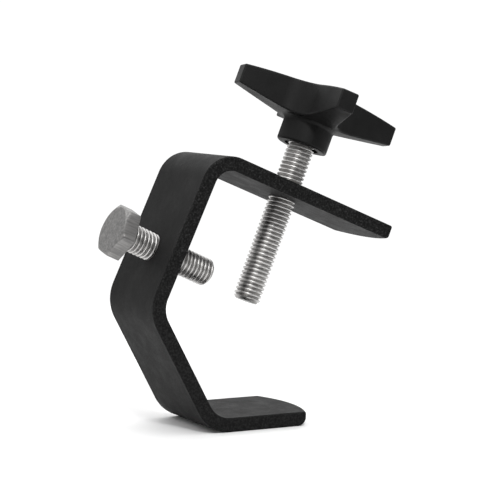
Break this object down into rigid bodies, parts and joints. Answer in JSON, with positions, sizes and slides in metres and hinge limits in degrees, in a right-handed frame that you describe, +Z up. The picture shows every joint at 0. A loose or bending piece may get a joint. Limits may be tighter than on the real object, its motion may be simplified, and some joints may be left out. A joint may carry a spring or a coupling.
{
  "type": "pipe clamp",
  "caption": "Black bent-steel hook clamp for a stage lighting tube, with a cross-shaped hand knob on a threaded clamp screw and a zinc hexagon bolt for the fixture.",
  "frame": {"origin": "middle of the flat underside of the foot, where the clamp stands", "axes": "+Z up from the foot to the knob, +X from the web towards the arm's tip, +Y along the tube and across the strap's width"},
  "size_m": [0.1131, 0.0616, 0.127],
  "materials": {
    "black_powder_coat": "fine-textured satin powder coat",
    "zinc_plate": "dull clear zinc plate",
    "black_plastic": "satin moulded plastic"
  },
  "bodies": {
    "strap": {"strap": "black_powder_coat"},
    "screw_carriage": {"knob_cap": "black_plastic"},
    "screw_and_knob": {"clamp_screw": "zinc_plate", "knob": "black_plastic"},
    "fixture_bolt": {"fixture_bolt": "zinc_plate"}
  },
  "joints": [
    {"name": "clamp_screw_travel", "type": "slide", "parent": "strap", "child": "screw_carriage", "axis": [0.3665, 0, 0.9304], "range_m": [-0.015, 0.036]},
    {"name": "clamp_screw_turn", "type": "hinge", "parent": "screw_carriage", "child": "screw_and_knob", "pos_m": [0.01376, 0, 0.08354], "axis": [0.3665, 0, 0.9304], "range_deg": [-3600, 8640]},
    {"name": "fixture_bolt_travel", "type": "slide", "parent": "strap", "child": "fixture_bolt", "axis": [-0.9135, 0, 0.4067], "range_m": [-0.0105, 0.0195]}
  ],
  "couplings": [
    {"joint": "clamp_screw_travel", "follows": "clamp_screw_turn", "m_per_rad": 0.00023873}
  ]
}
